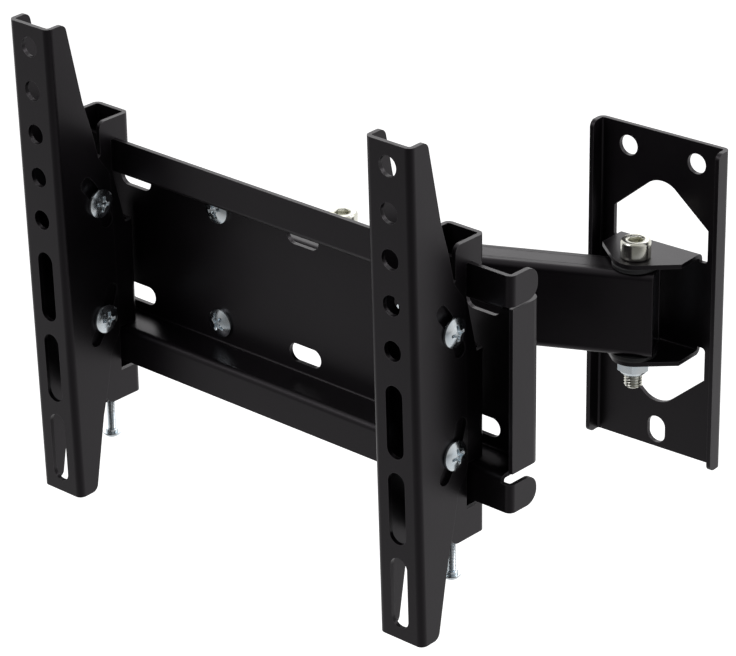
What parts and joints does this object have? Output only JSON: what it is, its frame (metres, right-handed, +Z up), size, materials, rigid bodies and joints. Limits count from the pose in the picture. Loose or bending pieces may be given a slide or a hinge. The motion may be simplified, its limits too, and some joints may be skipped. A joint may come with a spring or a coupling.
{
  "type": "tv mount",
  "caption": "Single-arm wall mount of folded black steel that swings, swivels and tilts a small television on two slotted rails",
  "frame": {"origin": "centre of the wall plate's back face, level with the middle of the arm", "axes": "+Y into the wall, +Z up, +X to the right of a viewer who faces the wall"},
  "size_m": [0.2806, 0.1568, 0.2231],
  "materials": {
    "black_powder_coat": "satin black powder coat",
    "zinc_plate": "bright zinc plate",
    "black_plastic": "moulded black plastic"
  },
  "bodies": {
    "wall": {"wall_plate": "black_powder_coat", "wall_pivot_bolt": "zinc_plate", "wall_pivot_nut": "zinc_plate", "wall_pivot_discs": "black_plastic"},
    "arm": {"arm_tube": "black_powder_coat", "wall_pivot_sleeve": "zinc_plate", "head_pivot_sleeve": "zinc_plate"},
    "head": {"head_bracket": "black_powder_coat", "head_pivot_bolt": "zinc_plate", "head_pivot_nut": "zinc_plate", "head_pivot_discs": "black_plastic", "tv_plate": "black_powder_coat", "head_bracket_screws": "zinc_plate", "head_bracket_nuts": "zinc_plate"},
    "hook_left": {"hook_bracket_left": "black_powder_coat", "tilt_bolts_left": "zinc_plate", "tilt_nuts_left": "zinc_plate"},
    "rail_left": {"tilt_rail_left": "black_powder_coat"},
    "screw_left": {"lock_screw_left": "zinc_plate"},
    "hook_right": {"hook_bracket_right": "black_powder_coat", "tilt_bolts_right": "zinc_plate", "tilt_nuts_right": "zinc_plate"},
    "rail_right": {"tilt_rail_right": "black_powder_coat"},
    "screw_right": {"lock_screw_right": "zinc_plate"}
  },
  "joints": [
    {"name": "arm_swing", "type": "hinge", "parent": "wall", "child": "arm", "pos_m": [0, -0.0204, 0], "axis": [0, 0, 1], "range_deg": [-23.5, 156.5]},
    {"name": "head_swivel", "type": "hinge", "parent": "arm", "child": "head", "pos_m": [-0.11665, -0.07112, 0], "axis": [0, 0, 1], "range_deg": [-138, 21.5]},
    {"name": "bracket_slide_left", "type": "slide", "parent": "head", "child": "hook_left", "axis": [0.9981, -0.061, 0], "range_m": [-0.01, 0.0795]},
    {"name": "rail_tilt_left", "type": "hinge", "parent": "hook_left", "child": "rail_left", "pos_m": [-0.22793, -0.17224, 0], "axis": [0.9981, -0.061, 0], "range_deg": [-12.2, 9.7]},
    {"name": "lock_screw_travel_left", "type": "slide", "parent": "hook_left", "child": "screw_left", "axis": [0, 0, 1], "range_m": [-0.01, 0.003]},
    {"name": "bracket_slide_right", "type": "slide", "parent": "head", "child": "hook_right", "axis": [0.9981, -0.061, 0], "range_m": [-0.072, 0.0175]},
    {"name": "rail_tilt_right", "type": "hinge", "parent": "hook_right", "child": "rail_right", "pos_m": [-0.02611, -0.18459, 0], "axis": [0.9981, -0.061, 0], "range_deg": [-12.2, 9.7]},
    {"name": "lock_screw_travel_right", "type": "slide", "parent": "hook_right", "child": "screw_right", "axis": [0, 0, 1], "range_m": [-0.01, 0.003]}
  ]
}
